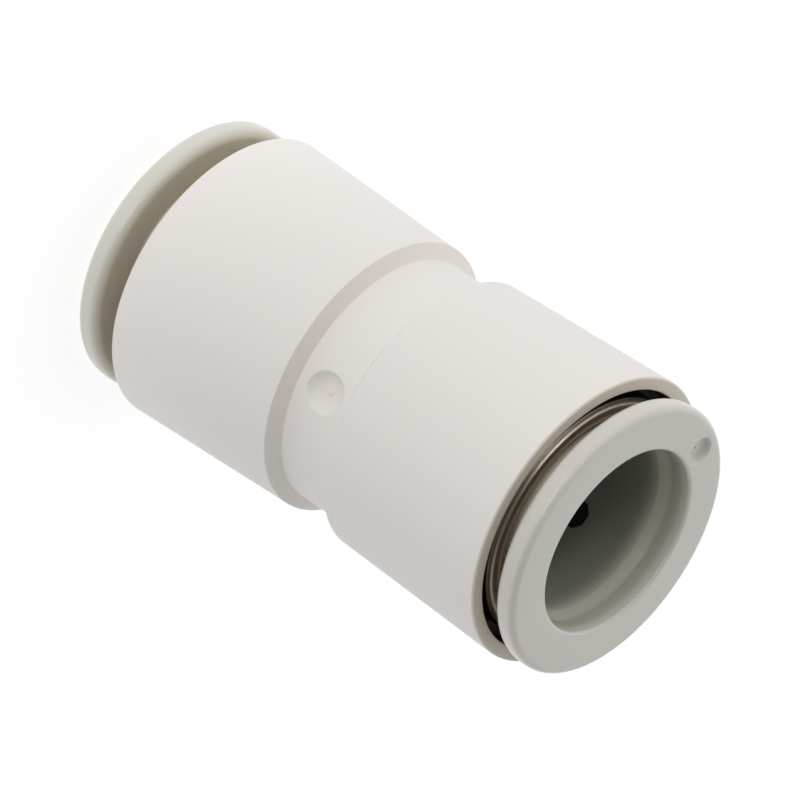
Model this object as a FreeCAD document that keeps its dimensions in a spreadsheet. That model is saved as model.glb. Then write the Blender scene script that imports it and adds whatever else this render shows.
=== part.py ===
import FreeCAD, Part
import Sketcher
import math
import os
import re

# Push-in straight union for two plastic tubes of 16 mm outside diameter.
# The union stands on its lower release button: origin at the centre of that button's outer face,
# +Z along the common axis of both tubes, from the lower end towards the upper end. Millimetres.
# Radii grow outwards from the tube, so each piece follows the one that it fits in or over.

SIZES = [
    # The tube, and the sleeve of the release button around it.
    ("TubeRadius", 8.0),
    ("TubeClearance", 0.15),
    ("SleeveWall", 0.95),
    ("SleeveClearance", 0.2),
    ("HookHeight", 0.65),
    ("HookClearance", 0.2),
    # The collet, the guide ring and the rim of the body around them.
    ("ColletWall", 0.7),
    ("ColletClearance", 0.1),
    ("GuideWall", 0.4),
    ("LipClearance", 0.25),
    ("MouthGap", 0.95),
    ("RimWidth", 1.2),
    # Outside of the body: two tapering barrels and a waist.
    ("BarrelTaper", 0.61),
    ("WaistStep", 1.23),
    ("WaistLength", 6.95),
    ("ShoulderRun", 0.84),
    ("MouthRound", 0.2),
    ("ShoulderRound", 0.08),
    # Gate recess of the moulding in the waist, with the stub of the gate on its floor.
    ("DimpleRadius", 2.03),
    ("DimpleFloorRadius", 0.6),
    ("DimpleDepth", 0.6),
    ("DimpleAngle", -73.9),
    ("DimpleShift", 0.15),
    ("StubRadius", 0.3),
    ("StubHeight", 0.15),
    # Inside of the body, as depths from each mouth.
    ("MouthGapDepth", 2.4),
    ("SocketLeadIn", 0.3),
    ("SocketLength", 3.6),
    ("StopWidth", 1.65),
    ("StopWeb", 3.0),
    # Guide ring: a drawn sleeve whose mouth is rolled inwards.
    ("GuideRecess", 0.15),
    ("GuideLength", 10.25),
    ("LipLeg", 0.3),
    # Collet: a neck for the sleeve, then a wider chamber for its hooks.
    ("ColletPlay", 0.15),
    ("NeckLength", 2.9),
    ("ColletChamfer", 0.3),
    # Chuck: a stamped ring of claws that slope inwards and down the tube.
    ("ChuckThickness", 0.45),
    ("ChuckClearance", 0.05),
    ("ChuckSeatWidth", 0.55),
    ("ClawBite", 0.25),
    ("ClawDrop", 1.4),
    ("ClawGap", 0.8),
    ("ClawGapInset", 0.2),
    ("ClawCount", 12),
    # Seal: a rubber ring with two lips and a skirt that reaches the chuck.
    ("SealLength", 5.0),
    ("SealPlay", 0.05),
    ("SkirtWall", 0.55),
    ("SkirtLength", 2.2),
    ("SealBite", 0.2),
    ("LipValley", 0.65),
    # Release button.
    ("FlangeInset", 0.78),
    ("FlangeThickness", 1.9),
    ("FaceRound", 0.6),
    ("BackRound", 0.35),
    ("LipRound", 0.3),
    ("LeadStep", 0.35),
    ("LeadDepth", 2.0),
    ("LeadTaper", 1.1),
    ("HookPlay", 0.05),
    ("HookLand", 0.6),
    ("HookTaper", 1.0),
    ("NoseStep", 0.45),
    ("NoseTaper", 1.0),
    ("NoseGap", 0.25),
    ("SlotWidth", 2.4),
    ("SlotDepth", 8.25),
    ("SlotFlat", 1.0),
    ("SlotChamfer", 0.6),
    ("SlotCount", 4),
    ("GateRadius", 1.2),
    ("GateFloorRadius", 0.3),
    ("GateDepth", 0.45),
    ("GateCircle", 10.3),
    ("GateAngle", -163.7),
    # Travel of the button, its gap to the rim at the end of it, and how far the upper one is in.
    ("ButtonTravel", 2.5),
    ("FlangeGap", 0.55),
    ("UpperInset", 1.3),
]

# Radii, each from the one inside it.
TUBE_BORE = "(TubeRadius + TubeClearance)"
SLEEVE = f"({TUBE_BORE} + SleeveWall)"
NECK = f"({SLEEVE} + SleeveClearance)"
HOOK = f"({SLEEVE} + HookHeight)"
CHAMBER = f"({HOOK} + HookClearance)"
COLLET = f"({CHAMBER} + ColletWall)"
GUIDE_BORE = f"({COLLET} + ColletClearance)"
GUIDE = f"({GUIDE_BORE} + GuideWall)"
LIP = f"({SLEEVE} + LipClearance)"
MOUTH_BORE = f"({GUIDE} + MouthGap)"
MOUTH = f"({MOUTH_BORE} + RimWidth)"
SHOULDER = f"({MOUTH} - BarrelTaper)"
WAIST = f"({SHOULDER} - WaistStep)"
SEAL_BORE = f"({GUIDE} - ChuckSeatWidth)"
SKIRT = f"({SEAL_BORE} - SkirtWall)"
CLAW_ROOT = f"({SKIRT} - SealPlay)"
CLAW_TIP = "(TubeRadius - ClawBite)"
PASSAGE = f"({TUBE_BORE} - StopWidth)"
LEAD = f"({TUBE_BORE} + LeadStep)"
FLANGE = f"({MOUTH} - FlangeInset)"
NOSE = f"({SLEEVE} - NoseStep)"

# Depths below a mouth of the body.
ROLL = f"(({GUIDE} - {LIP}) / 2)"
LEG_END = f"(GuideRecess + {ROLL} + LipLeg)"
COLLET_TOP = f"({LEG_END} + ColletPlay)"
COLLET_STEP = f"({COLLET_TOP} + NeckLength)"
CHUCK_TOP = "(GuideRecess + GuideLength)"
CHUCK_SEAT = f"({CHUCK_TOP} + ChuckThickness)"
COLLET_END = f"({CHUCK_TOP} - ColletPlay)"
SEAL_TOP = f"({CHUCK_SEAT} + SealPlay)"
SEAL_SEAT = f"({SEAL_TOP} + SealLength)"
STOP = f"({SEAL_SEAT} + SocketLength)"
CLAW_SLOPE = f"(ClawDrop / ({CLAW_ROOT} - {CLAW_TIP}))"
CLAW_AT_NOSE = f"({CHUCK_TOP} + ({CLAW_ROOT} - {NOSE}) * {CLAW_SLOPE})"

# Heights on the whole union.
BODY_LENGTH = f"(2 * {STOP} + StopWeb)"
LOWER_BARREL = f"(({BODY_LENGTH} - WaistLength) / 2)"
STAND_OFF = "(FlangeThickness + ButtonTravel + FlangeGap)"
LOWER_MOUTH = STAND_OFF
UPPER_MOUTH = f"({STAND_OFF} + {BODY_LENGTH})"
UPPER_FACE = f"({UPPER_MOUTH} + {STAND_OFF} - UpperInset)"

# The sloping face of a shoulder, and the round where it leaves the barrel.
SLOPE = "sqrt(WaistStep ^ 2 + ShoulderRun ^ 2)"
EDGE_IN = f"(ShoulderRound * WaistStep / {SLOPE})"
EDGE_RUN = f"(ShoulderRound * ShoulderRun / {SLOPE})"
EDGE_RADIUS = f"(ShoulderRound * sqrt(({SLOPE} + ShoulderRun) / ({SLOPE} - ShoulderRun)))"

# Depths below a button's outer face.
HOOK_TOP = f"({STAND_OFF} + {COLLET_STEP} + HookPlay)"
NOSE_END = f"({STAND_OFF} + {CLAW_AT_NOSE} - NoseGap - ButtonTravel)"

LEFT = "left"
RIGHT = "right"
CUT_MARGIN = 1.0
RIM_LIFT = 0.1
ORIGIN_POINT = (-1, 1)

doc = FreeCAD.newDocument("PushInUnion")


def make_sheet():
    """Spreadsheet of the driving sizes, one named value a row."""
    sheet = doc.addObject("Spreadsheet::Sheet", "Sizes")
    for row, (name, value) in enumerate(SIZES, start=1):
        sheet.set(f"A{row}", name)
        sheet.set(f"B{row}", str(value))
        sheet.setAlias(f"B{row}", name)
    doc.recompute()
    return sheet


def bound(text):
    """The same expression with each size named as a cell of the sheet."""
    return re.sub(r"\b([A-Z][A-Za-z]+)\b", r"Sizes.\1", text)


def value(text):
    """The number that an expression gives now."""
    return float(sheet.evalExpression(bound(text)))


def origin_feature(body, role):
    """One of a body's own origin planes or axes."""
    return next(item for item in body.Origin.OriginFeatures if item.Role == role)


def new_body(name, label):
    body = doc.addObject("PartDesign::Body", name)
    body.Label = label
    return body


def new_sketch(body, name, plane):
    sketch = body.newObject("Sketcher::SketchObject", name)
    sketch.AttachmentSupport = (origin_feature(body, plane), [""])
    sketch.MapMode = "FlatFace"
    return sketch


def arc_between(start, end, radius, side):
    """The shorter arc from start to end, with its centre on the given side of the way."""
    middle = (start + end) * 0.5
    way = end - start
    leftwards = FreeCAD.Vector(-way.y, way.x, 0).normalize()
    offset = leftwards * math.sqrt(max(radius ** 2 - (way.Length / 2) ** 2, 0))
    centre = middle + offset if side == LEFT else middle - offset
    first, last = (start, end) if side == LEFT else (end, start)
    from_angle = math.atan2(first.y - centre.y, first.x - centre.x)
    to_angle = math.atan2(last.y - centre.y, last.x - centre.x)
    if to_angle < from_angle:
        to_angle += 2 * math.pi
    circle = Part.Circle(centre, FreeCAD.Vector(0, 0, 1), radius)
    return Part.ArcOfCircle(circle, from_angle, to_angle)


def place_corner(sketch, number, point, across, along):
    """Hold one corner at its two distances from the sketch's origin, or on the sketch's own axis."""
    for kind, text, axis in (("DistanceX", across, -2), ("DistanceY", along, -1)):
        if text == "0":
            sketch.addConstraint(Sketcher.Constraint("PointOnObject", *point, axis))
            continue
        index = sketch.addConstraint(Sketcher.Constraint(kind, *ORIGIN_POINT, *point, value(text)))
        sketch.renameConstraint(index, f"{kind}{number}")
        sketch.setExpression(f"Constraints.{kind}{number}", bound(text))


def draw_outline(sketch, corners):
    """Closed outline. A corner is (across, along), with (radius, side) where an arc leaves it."""
    spots = [FreeCAD.Vector(value(corner[0]), value(corner[1]), 0) for corner in corners]
    edges = []
    ends = []
    for number, corner in enumerate(corners):
        start = spots[number]
        end = spots[(number + 1) % len(spots)]
        if len(corner) == 2:
            edges.append(Part.LineSegment(start, end))
            ends.append((1, 2))
        else:
            edges.append(arc_between(start, end, value(corner[2]), corner[3]))
            ends.append((1, 2) if corner[3] == LEFT else (2, 1))
    first = sketch.addGeometry(edges, False)[0]
    for number, corner in enumerate(corners):
        edge = first + number
        following = (number + 1) % len(corners)
        joined = (first + following, ends[following][0])
        sketch.addConstraint(Sketcher.Constraint("Coincident", edge, ends[number][1], *joined))
    for number, corner in enumerate(corners):
        edge = first + number
        place_corner(sketch, number, (edge, ends[number][0]), corner[0], corner[1])
        if len(corner) > 2:
            index = sketch.addConstraint(Sketcher.Constraint("Radius", edge, value(corner[2])))
            sketch.renameConstraint(index, f"Radius{number}")
            sketch.setExpression(f"Constraints.Radius{number}", bound(corner[2]))


def revolved(body, name, corners):
    """A full turn of an outline about the body's Z axis; across is a radius, along is a height."""
    sketch = new_sketch(body, f"{name}Profile", "XZ_Plane")
    draw_outline(sketch, corners)
    turn = body.newObject("PartDesign::Revolution", f"{name}Turn")
    turn.Profile = sketch
    turn.ReferenceAxis = (sketch, ["V_Axis"])
    turn.Angle = 360
    doc.recompute()
    return turn


def cut_round(body, name, sketch, reach, count):
    """Cut a sketch on the YZ plane outwards along X, and repeat the cut round the axis."""
    whole = body.Tip.Shape.Volume
    pocket = body.newObject("PartDesign::Pocket", f"{name}Pocket")
    pocket.Profile = sketch
    pocket.Reversed = True
    pocket.setExpression("Length", bound(reach))
    doc.recompute()
    assert pocket.Shape.Volume < whole
    pattern = body.newObject("PartDesign::PolarPattern", f"{name}Pattern")
    pattern.Originals = [pocket]
    pattern.Axis = (origin_feature(body, "Z_Axis"), [""])
    pattern.Angle = 360
    pattern.setExpression("Occurrences", bound(count))
    body.Tip = pattern
    doc.recompute()
    assert pattern.Shape.Volume < pocket.Shape.Volume


def place_lower(body, height):
    """Lower end: depths run up from a height of the union."""
    body.setExpression("Placement.Base.z", bound(height))


def place_upper(body, height):
    """Upper end: the same piece turned over about X, so that depths run down from a height."""
    body.Placement = FreeCAD.Placement(FreeCAD.Vector(), FreeCAD.Rotation(FreeCAD.Vector(1, 0, 0), 180))
    body.setExpression("Placement.Base.z", bound(height))


def half_bore():
    """One end's stepped bore, from the edge of the tube stop out to the mouth: radius, depth."""
    return [
        (PASSAGE, STOP),
        (TUBE_BORE, STOP),
        (TUBE_BORE, f"{SEAL_SEAT} + SocketLeadIn"),
        (f"{TUBE_BORE} + SocketLeadIn", SEAL_SEAT),
        (SEAL_BORE, SEAL_SEAT),
        (SEAL_BORE, CHUCK_SEAT),
        (GUIDE, CHUCK_SEAT),
        (GUIDE, "MouthGapDepth"),
        (MOUTH_BORE, "MouthGapDepth"),
        (MOUTH_BORE, "0"),
    ]


def make_housing():
    """One-piece moulded body, bored from both ends to a web that stops the tubes."""
    body = new_body("Housing", "body")
    top = BODY_LENGTH
    waist_start = LOWER_BARREL
    waist_end = f"({LOWER_BARREL} + WaistLength)"
    shoulder_edge = f"{SHOULDER} - {EDGE_IN}"
    outside = [
        (f"{MOUTH} - MouthRound", "0", "MouthRound", LEFT),
        (MOUTH, "MouthRound"),
        (SHOULDER, f"{waist_start} - ShoulderRound", EDGE_RADIUS, LEFT),
        (shoulder_edge, f"{waist_start} + {EDGE_RUN}"),
        (WAIST, f"{waist_start} + ShoulderRun"),
        (WAIST, f"{waist_end} - ShoulderRun"),
        (shoulder_edge, f"{waist_end} - {EDGE_RUN}", EDGE_RADIUS, LEFT),
        (SHOULDER, f"{waist_end} + ShoulderRound"),
        (MOUTH, f"{top} - MouthRound", "MouthRound", LEFT),
        (f"{MOUTH} - MouthRound", top),
    ]
    lower = half_bore()
    upper = [(radius, top if depth == "0" else f"{top} - {depth}") for radius, depth in reversed(lower)]
    revolved(body, "Housing", lower + outside + upper)
    cut_dimple(body)
    body.Placement = FreeCAD.Placement(
        FreeCAD.Vector(), FreeCAD.Rotation(FreeCAD.Vector(0, 0, 1), value("DimpleAngle")))
    place_lower(body, LOWER_MOUTH)


def cut_turned(body, name, sketch, axis):
    """Cut a full turn of a sketch about one of its own axes."""
    whole = body.Tip.Shape.Volume
    groove = body.newObject("PartDesign::Groove", name)
    groove.Profile = sketch
    groove.ReferenceAxis = (sketch, [axis])
    groove.Angle = 360
    doc.recompute()
    assert groove.Shape.Volume < whole


def bowl_radius(rim, floor, depth):
    """Radius of the arc from a recess's rim, a little outside the surface, down to its floor."""
    drop = f"({depth} + {RIM_LIFT})"
    return f"((({rim} - {floor}) ^ 2 + {drop} ^ 2) / (2 * {drop}))"


def cut_dimple(body):
    """Shallow round recess in the middle of the waist, about a line that leaves the axis along X."""
    sketch = new_sketch(body, "DimpleProfile", "XZ_Plane")
    sketch.setExpression("AttachmentOffset.Base.y", bound(f"{BODY_LENGTH} / 2 + DimpleShift"))
    floor = f"({WAIST} - DimpleDepth)"
    stub = f"({floor} + StubHeight)"
    outer = f"{WAIST} + DimpleDepth"
    draw_outline(sketch, [
        (stub, "0"),
        (outer, "0"),
        (outer, "DimpleRadius"),
        (f"{WAIST} + {RIM_LIFT}", "DimpleRadius",
         bowl_radius("DimpleRadius", "DimpleFloorRadius", "DimpleDepth"), LEFT),
        (floor, "DimpleFloorRadius"),
        (floor, "StubRadius"),
        (stub, "StubRadius"),
    ])
    cut_turned(body, "Dimple", sketch, "H_Axis")


def make_button(name, label):
    """Release button: a flange to press, and a sleeve split into fingers with hooks."""
    body = new_body(name, label)
    hook_end = f"({HOOK_TOP} + HookLand)"
    revolved(body, name, [
        (f"{LEAD} + LipRound", "0"),
        (f"{FLANGE} - FaceRound", "0", "FaceRound", LEFT),
        (FLANGE, "FaceRound"),
        (FLANGE, "FlangeThickness - BackRound", "BackRound", LEFT),
        (f"{FLANGE} - BackRound", "FlangeThickness"),
        (SLEEVE, "FlangeThickness"),
        (SLEEVE, HOOK_TOP),
        (HOOK, HOOK_TOP),
        (HOOK, hook_end),
        (SLEEVE, f"{hook_end} + HookTaper"),
        (SLEEVE, f"{NOSE_END} - NoseTaper"),
        (NOSE, NOSE_END),
        (TUBE_BORE, NOSE_END),
        (TUBE_BORE, "LeadDepth + LeadTaper"),
        (LEAD, "LeadDepth"),
        (LEAD, "LipRound", "LipRound", LEFT),
    ])
    slot = new_sketch(body, f"{name}SlotOutline", "YZ_Plane")
    mouth = f"{NOSE_END} + {CUT_MARGIN}"
    draw_outline(slot, [
        ("-SlotWidth / 2", mouth),
        ("-SlotWidth / 2", "SlotDepth + SlotChamfer"),
        ("-SlotFlat / 2", "SlotDepth"),
        ("SlotFlat / 2", "SlotDepth"),
        ("SlotWidth / 2", "SlotDepth + SlotChamfer"),
        ("SlotWidth / 2", mouth),
    ])
    cut_round(body, f"{name}Slot", slot, f"{HOOK} + {CUT_MARGIN}", "SlotCount")
    cut_gate(body, name)
    return body


def cut_gate(body, name):
    """Round gate recess in the outer face of the flange, about a line along Z."""
    sketch = new_sketch(body, f"{name}GateProfile", "XZ_Plane")
    sketch.setExpression("AttachmentOffset.Base.x", bound("GateCircle * cos(GateAngle * 1 deg)"))
    sketch.setExpression("AttachmentOffset.Base.z", bound("-GateCircle * sin(GateAngle * 1 deg)"))
    draw_outline(sketch, [
        ("0", "-GateDepth"),
        ("GateRadius", "-GateDepth"),
        ("GateRadius", f"-{RIM_LIFT}",
         bowl_radius("GateRadius", "GateFloorRadius", "GateDepth"), LEFT),
        ("GateFloorRadius", "GateDepth"),
        ("0", "GateDepth"),
    ])
    cut_turned(body, f"{name}Gate", sketch, "V_Axis")


def make_guide(name, label):
    """Drawn metal sleeve pressed into the body, its mouth rolled inwards to a round lip."""
    body = new_body(name, label)
    roll_depth = f"(GuideRecess + {ROLL})"
    inner_roll = f"({ROLL} - GuideWall)"
    crown = f"({GUIDE} - {ROLL})"
    revolved(body, name, [
        (GUIDE, CHUCK_TOP),
        (GUIDE, roll_depth, ROLL, RIGHT),
        (crown, "GuideRecess", ROLL, RIGHT),
        (LIP, roll_depth),
        (LIP, LEG_END),
        (f"{LIP} + GuideWall", LEG_END),
        (f"{LIP} + GuideWall", roll_depth, inner_roll, LEFT),
        (crown, "GuideRecess + GuideWall", inner_roll, LEFT),
        (GUIDE_BORE, roll_depth),
        (GUIDE_BORE, CHUCK_TOP),
    ])
    return body


def make_collet(name, label):
    """Plastic ring in the guide: its neck carries the button's sleeve and holds back the hooks."""
    body = new_body(name, label)
    revolved(body, name, [
        (NECK, COLLET_TOP),
        (f"{COLLET} - ColletChamfer", COLLET_TOP),
        (COLLET, f"{COLLET_TOP} + ColletChamfer"),
        (COLLET, COLLET_END),
        (CHAMBER, COLLET_END),
        (CHAMBER, COLLET_STEP),
        (NECK, COLLET_STEP),
    ])
    return body


def make_chuck(name, label):
    """Stamped ring of claws, its flat rim clamped between the guide and the body's step."""
    body = new_body(name, label)
    rim = f"({GUIDE} - ChuckClearance)"
    tip_top = f"({CHUCK_TOP} + ClawDrop)"
    revolved(body, name, [
        (CLAW_TIP, tip_top),
        (CLAW_TIP, f"{tip_top} + ChuckThickness"),
        (CLAW_ROOT, CHUCK_SEAT),
        (rim, CHUCK_SEAT),
        (rim, CHUCK_TOP),
        (CLAW_ROOT, CHUCK_TOP),
    ])
    gap = new_sketch(body, f"{name}GapOutline", "XY_Plane")
    outer = f"{CLAW_ROOT} - ClawGapInset"
    inner = f"{CLAW_TIP} - {CUT_MARGIN}"
    draw_outline(gap, [
        (inner, "-ClawGap / 2"),
        (outer, "-ClawGap / 2"),
        (outer, "ClawGap / 2"),
        (inner, "ClawGap / 2"),
    ])
    whole = body.Tip.Shape.Volume
    pocket = body.newObject("PartDesign::Pocket", f"{name}GapPocket")
    pocket.Profile = gap
    pocket.Reversed = True
    pocket.setExpression("Length", bound(f"{tip_top} + {CUT_MARGIN}"))
    doc.recompute()
    assert pocket.Shape.Volume < whole
    pattern = body.newObject("PartDesign::PolarPattern", f"{name}GapPattern")
    pattern.Originals = [pocket]
    pattern.Axis = (origin_feature(body, "Z_Axis"), [""])
    pattern.Angle = 360
    pattern.setExpression("Occurrences", bound("ClawCount"))
    body.Tip = pattern
    doc.recompute()
    return body


def make_seal(name, label):
    """Rubber ring with two lips against the tube and a skirt up to the chuck."""
    body = new_body(name, label)
    lip = "(TubeRadius - SealBite)"
    valley = f"({lip} + LipValley)"
    head = f"({SEAL_TOP} + SkirtLength)"
    step = f"((SealLength - SkirtLength) / 4)"
    revolved(body, name, [
        (SEAL_BORE, SEAL_TOP),
        (SEAL_BORE, SEAL_SEAT),
        (valley, SEAL_SEAT),
        (lip, f"{SEAL_SEAT} - {step}"),
        (valley, f"{SEAL_SEAT} - 2 * {step}"),
        (lip, f"{SEAL_SEAT} - 3 * {step}"),
        (valley, head),
        (SKIRT, head),
        (SKIRT, SEAL_TOP),
    ])
    return body


def make_end(side, place, mouth, face):
    """The stack of pieces in one end of the body."""
    title = side.capitalize()
    place(make_button(f"{title}Button", f"{side}_release_button"), face)
    place(make_guide(f"{title}Guide", f"{side}_guide_ring"), mouth)
    place(make_collet(f"{title}Collet", f"{side}_collet"), mouth)
    place(make_chuck(f"{title}Chuck", f"{side}_chuck"), mouth)
    place(make_seal(f"{title}Seal", f"{side}_seal"), mouth)


sheet = make_sheet()
make_housing()
make_end("lower", place_lower, LOWER_MOUTH, "0")
make_end("upper", place_upper, UPPER_MOUTH, UPPER_FACE)
doc.recompute()

failed = [item.Label for item in doc.Objects if "Invalid" in item.State or "Error" in item.State]
assert not failed, failed
bodies = [item for item in doc.Objects if item.TypeId == "PartDesign::Body"]
for body in bodies:
    assert not body.Shape.isNull() and body.Shape.isValid(), body.Label

os.makedirs("parts", exist_ok=True)
for body in bodies:
    body.Shape.exportStep(f"parts/{body.Label}.step")
    box = body.Shape.BoundBox
    print(f"{body.Label:24s} volume {body.Shape.Volume:9.2f}  z {box.ZMin:7.3f} to {box.ZMax:7.3f}")
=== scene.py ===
import math

import bmesh
import bpy
import numpy as np
from mathutils import Matrix, Vector


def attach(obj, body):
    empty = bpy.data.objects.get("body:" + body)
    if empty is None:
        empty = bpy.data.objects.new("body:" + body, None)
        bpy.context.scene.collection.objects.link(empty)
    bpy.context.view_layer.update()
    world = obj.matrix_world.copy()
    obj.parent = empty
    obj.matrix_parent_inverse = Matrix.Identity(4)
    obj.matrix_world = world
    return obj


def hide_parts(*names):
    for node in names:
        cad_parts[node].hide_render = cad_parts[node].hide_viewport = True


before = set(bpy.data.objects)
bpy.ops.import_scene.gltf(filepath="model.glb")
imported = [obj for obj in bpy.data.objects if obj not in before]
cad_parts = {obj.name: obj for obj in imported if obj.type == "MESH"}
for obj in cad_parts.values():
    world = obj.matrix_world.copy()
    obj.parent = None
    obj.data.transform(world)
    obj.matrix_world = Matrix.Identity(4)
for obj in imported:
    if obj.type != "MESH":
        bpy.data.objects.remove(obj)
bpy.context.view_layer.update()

# The moulded body
# One warm white injection moulding with a fine matt surface: two tapering barrels and a waist,
# bored from both mouths to a web that stops the tubes. The gate left a round bowl in the waist.

MM = 0.001
BODY_WHITE = (0.815, 0.780, 0.750)
BODY_SHADE = (0.800, 0.772, 0.752)
RIM_PAINTED_SHADE = (0.705, 0.645, 0.568)
GAP_PAINTED_SHADE = (0.050, 0.038, 0.030)
LEDGE_PAINTED_SHADE = (0.752, 0.708, 0.670)
SPECK_BROWN = (0.30, 0.26, 0.22)
LEDGE_START, LEDGE_FULL = 17.45, 17.6
LEDGE_RADIUS = 11.5
GAP_END, GAP_RADIUS = 2.5, 12.25
ARC_STEP = math.radians(11)
FINE_ROUND, FINE_ARC_STEP = 0.1, math.radians(22)
LEAST_TURN = math.radians(1)
SHARP_TURN = math.radians(32)
MERGE_METRES = 1e-7
GUARD_RUN = 0.07
PATH_RADIUS = 10.0


def reach(node):
    """Inner and outer radius, lowest and highest point of a solid of the frame, in millimetres."""
    points = np.array([vertex.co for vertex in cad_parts[node].data.vertices]) / MM
    radii = np.hypot(points[:, 0], points[:, 1])
    return radii.min(), radii.max(), points[:, 2].min(), points[:, 2].max()


def rounded_corner(before, corner, after, radius):
    """The points that round one corner of a section, from one tangent point to the other."""
    back = (before - corner).normalized()
    ahead = (after - corner).normalized()
    turn = math.pi - back.angle(ahead)
    if radius <= 0 or turn < LEAST_TURN:
        return [corner]
    run = radius * math.tan(turn / 2)
    centre = corner + (back + ahead).normalized() * math.hypot(radius, run)
    start = corner + back * run - centre
    end = corner + ahead * run - centre
    step = ARC_STEP if radius > FINE_ROUND else FINE_ARC_STEP
    pieces = max(2, math.ceil(turn / step))
    side = 1 if start.x * end.y - start.y * end.x > 0 else -1
    return [Matrix.Rotation(side * turn * k / pieces, 2) @ start + centre for k in range(pieces + 1)]


def section(corners):
    """Closed section of a turned piece. A corner is (radius, height, round) or has a fourth
    number, the step that divides the straight run after it. A point close to each end of a run
    keeps the shading of its flat clear of the round."""
    spots = [Vector(corner[:2]) for corner in corners]
    count = len(corners)
    arcs = [rounded_corner(spots[k - 1], spots[k], spots[(k + 1) % count], corners[k][2])
            for k in range(count)]
    points = []
    for number, arc in enumerate(arcs):
        points += arc
        start, end = arc[-1], arcs[(number + 1) % count][0]
        run = (end - start).length
        if run > 3 * GUARD_RUN:
            step = corners[number][3] if len(corners[number]) > 3 else run
            pieces = max(1, round((run - 2 * GUARD_RUN) / step))
            shares = [(GUARD_RUN + (run - 2 * GUARD_RUN) * k / pieces) / run for k in range(pieces + 1)]
            points += [start.lerp(end, share) for share in shares]
    return points


class TreeMaker:
    """Builds a Geometry Nodes tree with named inputs."""

    def __init__(self, name, inputs):
        self.tree = bpy.data.node_groups.new(name, "GeometryNodeTree")
        for label, kind in [("Geometry", "NodeSocketGeometry")] + inputs:
            self.tree.interface.new_socket(label, in_out="INPUT", socket_type=kind)
        self.tree.interface.new_socket("Geometry", in_out="OUTPUT", socket_type="NodeSocketGeometry")
        self.given = self.tree.nodes.new("NodeGroupInput").outputs

    def add(self, kind, settings, values, output=0):
        """One node: its settings first, then the values or links of its sockets."""
        node = self.tree.nodes.new(kind)
        for label, setting in settings.items():
            setattr(node, label, setting)
        for label, value in values.items():
            if isinstance(value, bpy.types.NodeSocket):
                self.tree.links.new(value, node.inputs[label])
            else:
                node.inputs[label].default_value = value
        return node.outputs[output]

    def maths(self, operation, first, second=0.0):
        return self.add("ShaderNodeMath", {"operation": operation}, {0: first, 1: second})

    def finish(self, geometry):
        """Realize Instances and Set Material close every tree."""
        real = self.add("GeometryNodeRealizeInstances", {}, {"Geometry": geometry})
        painted = self.add("GeometryNodeSetMaterial", {},
                           {"Geometry": real, "Material": self.given["Material"]})
        end = self.tree.nodes.new("NodeGroupOutput")
        self.tree.links.new(painted, end.inputs["Geometry"])
        return self.tree


def turning_tree():
    """Sweeps a section round the axis. The columns crowd together about one angle."""
    maker = TreeMaker("TurnRoundAxis", [
        ("Columns", "NodeSocketInt"), ("Path Radius", "NodeSocketFloat"),
        ("Crowding", "NodeSocketFloat"), ("Crowded Angle", "NodeSocketFloat"),
        ("Material", "NodeSocketMaterial")])
    given = maker.given
    circle = maker.add("GeometryNodeCurvePrimitiveCircle", {"mode": "RADIUS"},
                       {"Resolution": given["Columns"], "Radius": given["Path Radius"]})
    index = maker.add("GeometryNodeInputIndex", {}, {})
    share = maker.maths("DIVIDE", index, given["Columns"])
    even = maker.maths("MULTIPLY", share, math.tau)
    from_crowd = maker.maths("SUBTRACT", even, given["Crowded Angle"])
    pull = maker.maths("MULTIPLY", maker.maths("SINE", from_crowd), given["Crowding"])
    angle = maker.maths("SUBTRACT", even, pull)
    spot = maker.add("ShaderNodeCombineXYZ", {}, {
        "X": maker.maths("MULTIPLY", maker.maths("COSINE", angle), given["Path Radius"]),
        "Y": maker.maths("MULTIPLY", maker.maths("SINE", angle), given["Path Radius"])})
    path = maker.add("GeometryNodeSetPosition", {}, {"Geometry": circle, "Position": spot})
    upright = maker.add("GeometryNodeSetCurveNormal", {"mode": "Z_UP"}, {"Curve": path})
    outline = maker.add("GeometryNodeMeshToCurve", {}, {"Mesh": given["Geometry"]})
    skin = maker.add("GeometryNodeCurveToMesh", {}, {"Curve": upright, "Profile Curve": outline})
    return maker.finish(skin)


TURNING = turning_tree()


def run_tree(obj, tree, values):
    """Give an object the mesh that a tree makes of it, with the tree's inputs set by name."""
    modifier = obj.modifiers.new(tree.name, "NODES")
    modifier.node_group = tree
    for item in tree.interface.items_tree:
        if item.item_type == "SOCKET" and item.name in values:
            modifier[item.identifier] = values[item.name]
    evaluated = obj.evaluated_get(bpy.context.evaluated_depsgraph_get())
    made = bpy.data.meshes.new_from_object(evaluated)
    obj.modifiers.remove(modifier)
    obj.data = made
    return obj


def new_object(name, vertices, edges, faces):
    """An object in the scene, with a mesh made from its points."""
    mesh = bpy.data.meshes.new(name)
    mesh.from_pydata(vertices, edges, faces)
    obj = bpy.data.objects.new(name, mesh)
    bpy.context.scene.collection.objects.link(obj)
    return obj


def turned(name, corners, material, columns, crowding=0.0, crowded_angle=0.0):
    """A turned piece, still in millimetres and standing at the height of its own section."""
    points = section(corners)
    vertices = [(point.x - PATH_RADIUS, -point.y, 0) for point in points]
    edges = [(k, (k + 1) % len(points)) for k in range(len(points))]
    obj = new_object(name, vertices, edges, [])
    return run_tree(obj, TURNING, {
        "Columns": columns, "Path Radius": PATH_RADIUS, "Crowding": crowding,
        "Crowded Angle": crowded_angle, "Material": material})


def vertex_places(obj):
    """Where the points of a mesh are, one row each."""
    places = np.empty(len(obj.data.vertices) * 3)
    obj.data.vertices.foreach_get("co", places)
    return places.reshape(-1, 3)


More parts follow.
